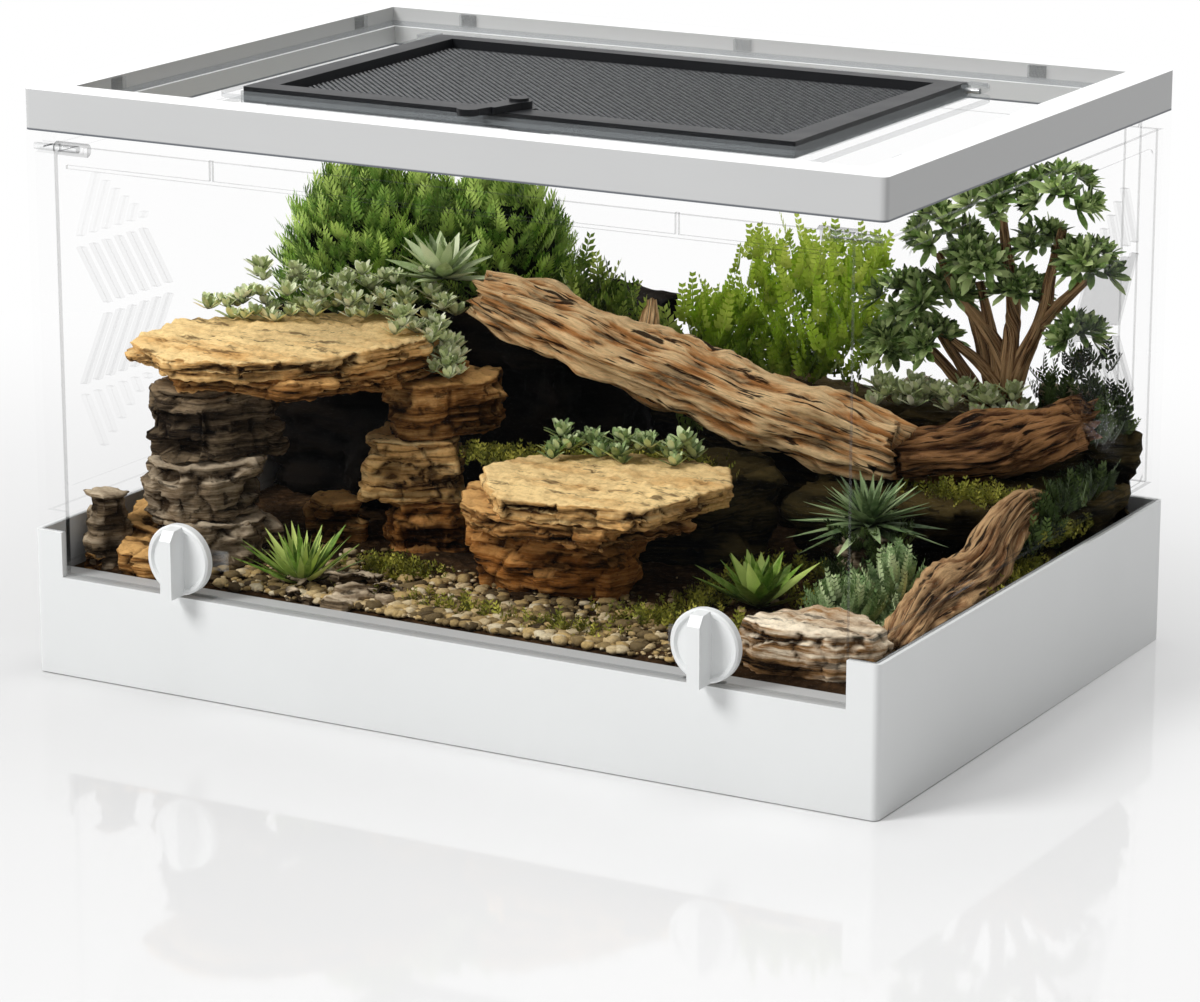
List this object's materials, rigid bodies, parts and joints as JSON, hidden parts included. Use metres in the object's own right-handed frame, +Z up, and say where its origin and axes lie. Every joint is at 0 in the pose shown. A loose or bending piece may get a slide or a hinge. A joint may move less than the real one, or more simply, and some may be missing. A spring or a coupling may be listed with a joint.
{
  "type": "reptile terrarium",
  "caption": "Clear-walled reptile terrarium with a white tray, a top-hinged front door, a mesh hatch in the lid and a planted rock landscape.",
  "frame": {"origin": "middle of the tray's flat underside", "axes": "+X along the front towards the right, -Y out of the front door, +Z up"},
  "size_m": [0.396, 0.2899, 0.2519],
  "materials": {
    "tray_white": "smooth moulded",
    "rim_grey": "fine satin",
    "clear": "clear polished",
    "black": "satin",
    "mesh": "black coated wire",
    "steel": "plain",
    "soil": "loose soil and gravel",
    "stone": "rough",
    "wood": "weathered driftwood",
    "plant": "leaves"
  },
  "bodies": {
    "enclosure": {"base_tray": "tray_white", "left_panel": "clear", "right_panel": "clear", "back_panel": "clear", "door_pins": "clear", "top_frame": "rim_grey", "lid_plate": "clear", "snap_clips": "tray_white", "hatch_pins": "steel", "substrate_bed": "soil", "rear_bank_left": "soil", "rear_bank_right": "soil", "centre_bank": "soil", "log_cradle": "soil", "cave_pillar_left_lower": "stone", "cave_pillar_left_middle": "stone", "cave_pillar_left_upper": "stone", "cave_pillar_right_lower": "stone", "cave_pillar_right_middle": "stone", "cave_pillar_right_upper": "stone", "cave_roof_lower": "stone", "cave_roof_upper": "stone", "cave_inner_rock": "stone", "side_rocks": "stone", "centre_foot_stone": "stone", "centre_slab_lower": "stone", "centre_slab_upper": "stone", "front_boulder": "stone", "grey_stones": "stone", "pebbles": "stone", "driftwood_log": "wood", "right_log": "wood", "root_branch": "wood", "bonsai_trunk": "wood", "bonsai_foliage": "plant", "bush_dark": "plant", "rosette_pale": "plant", "pale_succulents": "plant", "trailing_plant": "plant", "yellow_shrub": "plant", "centre_succulents": "plant", "right_succulents": "plant", "agave_front": "plant", "agave_mid": "plant", "front_rosette": "plant", "fern_plants": "plant", "moss_ground": "plant"},
    "front_door": {"front_door": "clear"},
    "knob_left": {"knob_left": "tray_white", "cam_left": "clear", "cam_screw_left": "steel"},
    "knob_right": {"knob_right": "tray_white", "cam_right": "clear", "cam_screw_right": "steel"},
    "mesh_hatch": {"mesh_frame": "black", "mesh_screen": "mesh", "mesh_retainer": "black"},
    "hatch_latch": {"latch_lever": "black", "latch_cap": "black", "latch_tongue": "black"}
  },
  "joints": [
    {"name": "door_hinge", "type": "hinge", "parent": "enclosure", "child": "front_door", "pos_m": [0, -0.135, 0.226], "axis": [-1, 0, 0], "range_deg": [0, 100]},
    {"name": "knob_left_turn", "type": "hinge", "parent": "front_door", "child": "knob_left", "pos_m": [-0.1235, -0.135, 0.0595], "axis": [0, 1, 0], "range_deg": [0, 90]},
    {"name": "knob_right_turn", "type": "hinge", "parent": "front_door", "child": "knob_right", "pos_m": [0.1235, -0.135, 0.0595], "axis": [0, -1, 0], "range_deg": [0, 90]},
    {"name": "hatch_hinge", "type": "hinge", "parent": "enclosure", "child": "mesh_hatch", "pos_m": [0, 0.0777, 0.24445], "axis": [-1, 0, 0], "range_deg": [0, 100]},
    {"name": "latch_turn", "type": "hinge", "parent": "mesh_hatch", "child": "hatch_latch", "pos_m": [-0.003, -0.066, 0.247], "axis": [0, 0, -1], "range_deg": [0, 90]}
  ]
}
